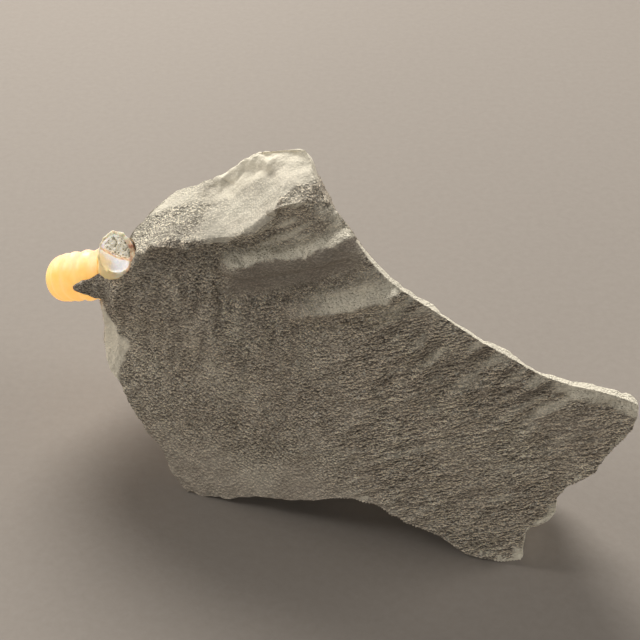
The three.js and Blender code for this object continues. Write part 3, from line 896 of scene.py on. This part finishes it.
def build_stone():
    points, faces = welded("matrix_rock")
    creases = sharp_edges(points, faces, CREASE_ANGLE)
    for turn in range(REFINE_ROUNDS):
        normals = point_normals(points, faces)
        seen = smooth(0.0, 0.3, -(normals @ INTO_FACE))
        wanted = BACK_EDGE + (FRONT_EDGE - BACK_EDGE) * seen
        points, faces, creases, again = split_long_edges(points, faces, creases, wanted, turn < SMOOTH_ROUNDS)
        if not again:
            break
    on_floor = points[:, 2] < 1e-3
    normals = point_normals(points, faces)
    zones = stone_zones(points, normals)
    top_rise = zones.top * np.clip(zones.to_rim, 0, TOP_RISE)
    moved = points + normals * stone_relief(points, zones)[:, None] + top_rise[:, None] * UP_FACE
    values = stone_values(points, zones)
    moved[:, 2] = np.where(on_floor, 0, np.maximum(moved[:, 2], FLOOR_GAP))
    low, high = (np.array(corner) / MM for corner in cad_box)
    moved = np.clip(moved, low - BOX_MARGIN, high + BOX_MARGIN)
    moved[:, 2] = np.maximum(moved[:, 2], 0)
    add_piece("stone", moved, faces, "matrix_rock", limestone(), values)


# The ammonite.
def coil_matrix():
    turn = Euler((0, COIL_ROLL, 0)).to_matrix()
    turn = Euler((COIL_TIP_BACK, 0, 0)).to_matrix() @ turn
    return np.array(turn), face_place(*COIL_CENTRE)


def tube(rings):
    """A closed tube through rings of points, with its ends filled."""
    count, sides = rings.shape[:2]
    i = np.arange(count - 1)[:, None] * sides
    j = np.arange(sides)[None, :]
    k = (j + 1) % sides
    a, b, c, d = i + j, i + k, i + sides + k, i + sides + j
    faces = np.vstack([np.stack([a, b, c], 2).reshape(-1, 3), np.stack([a, c, d], 2).reshape(-1, 3)])
    points = np.vstack([rings.reshape(-1, 3), rings[0].mean(axis=0), rings[-1].mean(axis=0)])
    ring = np.arange(sides)
    after = (ring + 1) % sides
    last = (count - 1) * sides
    first_end = np.stack([after, ring, np.full(sides, count * sides)], 1)
    last_end = np.stack([last + ring, last + after, np.full(sides, count * sides + 1)], 1)
    return points, np.vstack([faces, first_end, last_end])


def whorl_rings(turns, sides):
    rings = []
    for t in turns:
        angle = COIL_END_ANGLE - 2 * math.pi * t
        outer = COIL_LEFT_RADIUS * COIL_GROWTH ** ((COIL_END_ANGLE - math.pi) / (2 * math.pi) - t)
        phi = np.arange(sides) / sides * 2 * math.pi
        outwards = smooth(-0.75, 0.2, np.cos(phi))
        lag = 0.1 * (1 - np.cos(phi))
        wave = np.cos(RIBS_A_TURN * t * 2 * math.pi + lag)
        rib = RIB_HEIGHT * outer / COIL_LEFT_RADIUS * wave * outwards
        radius = COIL_MIDLINE * outer + np.cos(phi) * (COIL_HALF_HEIGHT * outer + rib)
        height = np.sin(phi) * (COIL_HALF_WIDTH * outer + rib)
        rings.append(np.stack([radius * math.cos(angle), radius * math.sin(angle), height], 1))
    return np.array(rings)


def build_coil():
    turns = np.arange(0, WHORL_TURNS, 1 / (RIBS_A_TURN * RINGS_A_RIB))
    points, faces = tube(whorl_rings(turns, WHORL_SIDES))
    turn, centre = coil_matrix()
    points = points @ turn.T + centre
    cloudy = 0.8 * noise(points, 3, 21)
    local = (points - centre) @ turn
    # Paler along the top of the whorl is painted highlight; deeper honey low on it goes with a stronger
    # painted glow.
    values = {
        "cream": 0.7 * smooth(-0.5, 4.5, local[:, 2] + cloudy),
        "deep": 0.7 * smooth(-0.5, -4.0, local[:, 2] + cloudy),
    }
    add_piece("ammonite", points, faces, "ammonite_coil", calcite(), values)


# The broken end of the shell and its filling.
def bowl_matrix():
    turn = Euler((0, 0, BOWL_TURN + FACE_YAW)).to_matrix() @ Euler((BOWL_TILT, 0, 0)).to_matrix()
    return np.array(turn), face_place(*BOWL_CENTRE)


def end_radius():
    """The coil's radius at the open end of its last whorl."""
    return COIL_LEFT_RADIUS * COIL_GROWTH ** ((COIL_END_ANGLE - math.pi) / (2 * math.pi))


def egg(angle, size, depth):
    """Points of an egg-shaped ring at a depth behind the rim."""
    up = np.sin(angle) * size
    across = np.cos(angle) * size * BOWL_HALF_WIDTH * (1 - BOWL_NARROWING * up)
    return np.stack([across, up * BOWL_HALF_HEIGHT, np.full(len(angle), 0.0) - depth], 1)


def neck_rings(angle, count):
    """Rings from the end of the last whorl to the back of the bowl, in millimetres."""
    coil_turn, coil_centre = coil_matrix()
    turn, centre = bowl_matrix()
    outer = end_radius()
    out = np.array([math.cos(COIL_END_ANGLE), math.sin(COIL_END_ANGLE), 0])
    onwards = np.array([-out[1], out[0], 0])
    ends = [COIL_MIDLINE * outer * out, COIL_MIDLINE * outer * out + NECK_LEAVE * onwards]
    ends = [coil_turn @ end + coil_centre for end in ends]
    ends += [centre - turn[:, 2] * (NECK_START + NECK_ARRIVE), centre - turn[:, 2] * NECK_START]
    rings = []
    for t in np.linspace(0, 1, count):
        weights = [(1 - t) ** 3, 3 * t * (1 - t) ** 2, 3 * t * t * (1 - t), t**3]
        speeds = [-((1 - t) ** 2), (1 - t) * (1 - 3 * t), t * (2 - 3 * t), t * t]
        spot = sum(weight * end for weight, end in zip(weights, ends))
        heading = sum(speed * end for speed, end in zip(speeds, ends))
        heading /= np.linalg.norm(heading)
        side = np.cross(coil_turn[:, 2] * (1 - t) + turn[:, 1] * t, heading)
        side /= np.linalg.norm(side)
        up = np.cross(heading, side)
        high = np.sin(angle) * (COIL_HALF_WIDTH * outer * (1 - t) + BOWL_HALF_HEIGHT * t)
        across = np.cos(angle) * (COIL_HALF_HEIGHT * outer * (1 - t) + BOWL_HALF_WIDTH * t)
        across *= 1 - t * BOWL_NARROWING * np.sin(angle)
        rings.append(spot + across[:, None] * side + high[:, None] * up)
    return rings


def build_shell():
    """A shallow dish with a thin broken rim, whose outside runs on as a neck to the ammonite."""
    sides = BOWL_SIDES
    angle = np.arange(sides) / sides * 2 * math.pi
    wall = 0.3 + 0.55 * smooth(0.1, 0.9, np.cos(angle - 0.35)) + 0.2 * smooth(0.7, 1, np.sin(angle - 0.3))
    wall = wall / BOWL_HALF_WIDTH
    turn, centre = bowl_matrix()
    neck = neck_rings(angle, NECK_RINGS)
    front = [egg(angle, 0.99, 0.5), egg(angle, 0.985, 0.15), egg(angle, 1 - 0.25 * wall, 0.02)]
    front.append(egg(angle, 1 - 0.8 * wall, 0.02))
    for share in np.linspace(1, 0.01, BOWL_RINGS):
        depth = RIM_DEPTH + (DISH_DEPTH - RIM_DEPTH) * (1 - share**3)
        front.append(egg(angle, (1 - wall) * share, depth))
    rings = neck + [ring @ turn.T + centre for ring in front]
    points, faces = tube(np.array(rings))
    across, up, out = ((points - centre) @ turn).T
    inner = np.zeros(len(points))
    inner[(len(neck) + 4) * sides:] = 1
    inner[-2] = 0
    over = (up - SEPTUM_LEVEL) * math.cos(FILL_TILT) - across * math.sin(FILL_TILT)
    wander = 0.25 * noise(points, 1.1, 52)
    ridge = np.exp(-((over + wander) / RIDGE_WIDTH) ** 2) * inner * smooth(3.0, 2.3, np.abs(across))
    lift = RIDGE_HEIGHT * ridge + 0.25 * inner * smooth(0, 0.6, -out) * noise(points, 1.0, 53)
    rim = smooth(-0.7, -0.1, out) * (1 - inner)
    lift += rim * 0.16 * noise(points, 1.2, 54)
    points = points + lift[:, None] * turn[:, 2]
    points += (0.08 + 0.1 * rim)[:, None] * point_normals(points, faces) * rough(points, 1.1, 51)[:, None]
    cloud = noise(points, 1.3, 55)
    pearl = inner * smooth(-0.05, 0.35, -out)
    right = smooth(1.5, 2.3, across - 0.15 * up + 0.2 * cloud) * smooth(3.2, 2.2, up) * (1 - 0.85 * pearl)
    brown = np.maximum(right, 0.95 * smooth(0.15, 0.6, ridge))
    behind = smooth(0.8, 3.0, -out) * (1 - inner)
    low_left = smooth(-0.6, -2.6, across + 0.3 * up + 0.5 * cloud) * smooth(1.2, -0.6, up)
    values = {"pearl": pearl, "brown": brown, "honey": np.maximum(behind, 0.85 * low_left)}
    add_piece("shell", points, faces, "shell_section", shell_matter(), values)


def build_fill():
    """Sediment that fills the upper part of the bowl, with a grainy face."""
    points, faces = welded("chamber_fill")
    creases = sharp_edges(points, faces, FILL_CREASE_ANGLE)
    for turn in range(FILL_ROUNDS):
        wanted = np.full(len(points), FILL_MESH)
        soften = turn < FILL_SMOOTH_ROUNDS
        points, faces, creases, _ = split_long_edges(points, faces, creases, wanted, soften)
    normals = point_normals(points, faces)
    grainy = 0.35 * (0.5 - grains(points, FILL_GRAIN, 61)) + 0.1
    points = points + normals * grainy[:, None]
    turn, centre = bowl_matrix()
    local = (points - centre) @ turn
    level = local[:, 1] * math.cos(FILL_TILT) - local[:, 0] * math.sin(FILL_TILT)
    local[:, 1] += np.maximum(FILL_EDGE - level, 0) / math.cos(FILL_TILT)
    points = local @ turn.T + centre
    out = np.hypot(local[:, 0] / BOWL_HALF_WIDTH, local[:, 1] / BOWL_HALF_HEIGHT)
    dark = smooth(0.5, 0.85, out + 0.12 * noise(points, 1.2, 62)) * smooth(-0.2, 0.6, level)
    add_piece("sediment", points, faces, "chamber_fill", sediment(), {"dark": dark})


# Floor, light and camera.
def add_floor():
    mesh = bpy.data.meshes.new("floor")
    corners = [(x * FLOOR_REACH, y * FLOOR_REACH, 0) for x, y in ((-1, -1), (1, -1), (1, 1), (-1, 1))]
    mesh.from_pydata(corners, [], [(0, 1, 2, 3)])
    floor = bpy.data.objects.new("floor", mesh)
    bpy.context.scene.collection.objects.link(floor)
    mesh.materials.append(paper())


def add_light(name, place, aim, size, watts):
    """A soft oval light of a width and a height, in metres."""
    lamp = bpy.data.lights.new(name, "AREA")
    lamp.shape = "ELLIPSE"
    lamp.size, lamp.size_y = size
    lamp.energy = watts
    lamp.color = LAMP_COLOUR
    light = bpy.data.objects.new(name, lamp)
    light.location = place
    light.rotation_euler = (Vector(aim) - Vector(place)).to_track_quat("-Z", "Y").to_euler()
    bpy.context.scene.collection.objects.link(light)


def add_sky():
    """Dim light from all round."""
    world = bpy.data.worlds.new("studio")
    bpy.context.scene.world = world
    world.use_nodes = True
    background = world.node_tree.nodes["Background"]
    background.inputs["Color"].default_value = (*SKY_COLOUR, 1)
    background.inputs["Strength"].default_value = SKY


def add_lights():
    """A soft light above and behind the stone, and weaker ones in front, on the left and on the right."""
    add_sky()
    for name, lamp in LAMPS.items():
        add_light(name, lamp["place"], lamp["aim"], lamp["size"], lamp["watts"])


def add_camera():
    lens = bpy.data.cameras.new("camera")
    lens.lens = CAMERA_LENS
    lens.sensor_width = CAMERA_SENSOR
    lens.clip_start = 0.01
    camera = bpy.data.objects.new("camera", lens)
    rise = math.radians(CAMERA_ELEVATION)
    back = Vector((0, -math.cos(rise), math.sin(rise))) * CAMERA_DISTANCE
    camera.location = Vector(CAMERA_TARGET) + back
    camera.rotation_euler = (math.pi / 2 - rise, 0, 0)
    bpy.context.scene.collection.objects.link(camera)
    bpy.context.scene.camera = camera


bpy.context.scene.view_settings.view_transform = "Standard"
build_stone()
build_coil()
build_shell()
build_fill()
add_floor()
add_lights()
add_camera()
